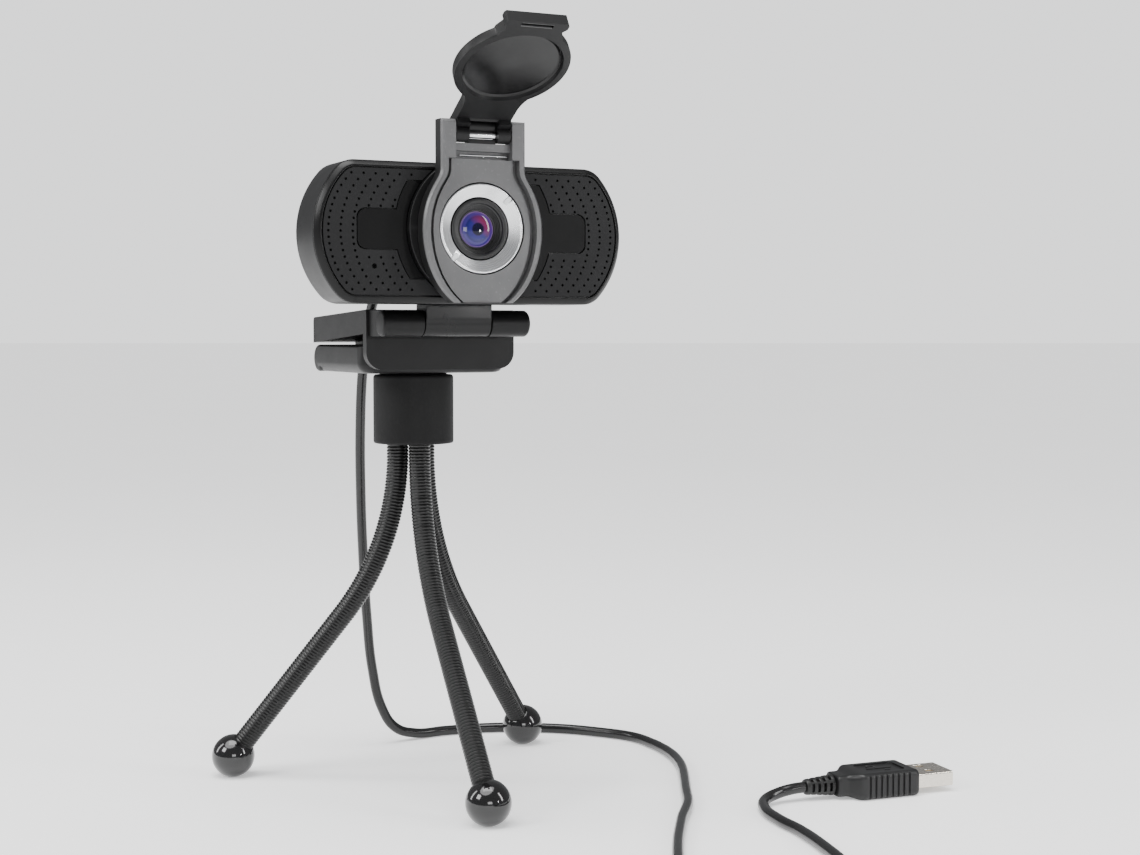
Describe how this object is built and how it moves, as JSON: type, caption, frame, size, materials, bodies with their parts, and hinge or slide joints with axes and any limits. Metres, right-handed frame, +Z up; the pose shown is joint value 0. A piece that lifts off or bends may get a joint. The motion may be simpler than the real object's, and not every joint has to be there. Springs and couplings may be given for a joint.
{
  "type": "webcam on tripod",
  "caption": "Wide webcam on a folding monitor clip, screwed to a mini gooseneck tripod, with a flip-up privacy lid and a coiled USB lead",
  "frame": {"origin": "bottom centre of the webcam and tripod's own box, without the lead, on the plane the feet stand on", "axes": "+Z up through the tripod; the lens looks along -Y; +X to the right of somebody facing the lens"},
  "size_m": [0.1998, 0.2568, 0.2226],
  "materials": {
    "shell_plastic": "near-black satin moulding",
    "panel_plastic": "dark grey fine-grained panel with rows of small holes",
    "inlay_plastic": "smooth black inlay",
    "frame_plastic": "satin anthracite coating",
    "ring_metal": "bright, turned with fine concentric lines",
    "optic_black": "stepped black barrel with anti-glare ridges",
    "coated_glass": "lens glass with a violet-blue coating",
    "lid_plastic": "dark grey satin with a smooth dark recess",
    "clip_plastic": "fine spark grain, black",
    "steel": "bright turned steel",
    "brass": "turned brass with a cut thread",
    "board": "green solder mask with tracks",
    "chip": "moulded black package",
    "clear_plastic": "milky white moulding",
    "rubber": "matt black rubber",
    "soft_sleeve": "soft-touch black sleeve",
    "gooseneck": "black rubber, finely ringed",
    "ball_plastic": "glossy black ball",
    "cord_jacket": "smooth glossy black jacket",
    "plug_plastic": "black overmould with grip ribs",
    "plug_nickel": "warm nickel plate"
  },
  "bodies": {
    "tripod": {"hub_core": "shell_plastic", "hub_sleeve": "soft_sleeve", "hub_cap": "shell_plastic", "tripod_stud": "steel", "cable_run": "cord_jacket", "cable_tail": "cord_jacket", "cable_coil": "cord_jacket", "coil_tie": "soft_sleeve", "plug_relief": "plug_plastic", "plug_body": "plug_plastic", "plug_shell": "plug_nickel", "plug_tongue": "clear_plastic"},
    "leg_front": {"gooseneck_front": "gooseneck", "ball_foot_front": "ball_plastic"},
    "leg_right": {"gooseneck_right": "gooseneck", "ball_foot_right": "ball_plastic"},
    "leg_left": {"gooseneck_left": "gooseneck", "ball_foot_left": "ball_plastic"},
    "clip_base": {"clip_foot": "clip_plastic", "grip_pad": "rubber", "threaded_insert": "brass", "rear_hinge_pin": "steel"},
    "clip_bridge": {"clip_arm": "clip_plastic", "front_hinge_pin": "steel"},
    "camera": {"front_bezel": "shell_plastic", "rear_shell": "shell_plastic", "grille_left": "panel_plastic", "grille_right": "panel_plastic", "inlay_left": "inlay_plastic", "inlay_right": "inlay_plastic", "body_screw_left": "steel", "body_screw_right": "steel", "lens_housing": "inlay_plastic", "lens_ring": "ring_metal", "light_pipe_1": "clear_plastic", "light_pipe_2": "clear_plastic", "lens_barrel": "optic_black", "front_lens": "coated_glass", "middle_lens": "coated_glass", "aperture_stop": "optic_black", "rear_lens": "coated_glass", "lens_holder": "optic_black", "infrared_filter": "coated_glass", "image_sensor": "chip", "main_board": "board", "video_processor": "chip", "lead_connector": "clear_plastic", "microphone": "steel", "microphone_boot": "rubber", "cable_gland": "rubber", "privacy_frame": "frame_plastic", "lid_pin": "steel", "neck_bracket": "clip_plastic", "neck_screw_left": "steel", "neck_screw_right": "steel"},
    "lid": {"privacy_lid": "lid_plastic"}
  },
  "joints": [
    {"name": "webcam_turn", "type": "hinge", "parent": "tripod", "child": "clip_base", "pos_m": [0, 0.0284, 0.127], "axis": [0, 0, 1], "range_deg": [0, 360], "deforming": ["cable_run"]},
    {"name": "clip_hinge", "type": "hinge", "parent": "clip_base", "child": "clip_bridge", "pos_m": [0, 0.0519, 0.1315], "axis": [-1, 0, 0], "range_deg": [0, 110], "deforming": ["cable_run"]},
    {"name": "head_tilt", "type": "hinge", "parent": "clip_bridge", "child": "camera", "pos_m": [0, -0.0051, 0.1421], "axis": [1, 0, 0], "range_deg": [-20, 30], "deforming": ["cable_run"]},
    {"name": "lid_hinge", "type": "hinge", "parent": "camera", "child": "lid", "pos_m": [0, -0.0255, 0.1946], "axis": [-1, 0, 0], "range_deg": [-120, 60]},
    {"name": "leg_front_splay", "type": "hinge", "parent": "tripod", "child": "leg_front", "pos_m": [0, 0.0234, 0.1054], "axis": [-1, 0, 0], "range_deg": [-6, 18]},
    {"name": "leg_right_splay", "type": "hinge", "parent": "tripod", "child": "leg_right", "pos_m": [0.00433, 0.0309, 0.1054], "axis": [0.5, -0.866, 0], "range_deg": [-6, 18], "deforming": ["cable_run"]},
    {"name": "leg_left_splay", "type": "hinge", "parent": "tripod", "child": "leg_left", "pos_m": [-0.00433, 0.0309, 0.1054], "axis": [0.5, 0.866, 0], "range_deg": [-6, 18]}
  ]
}
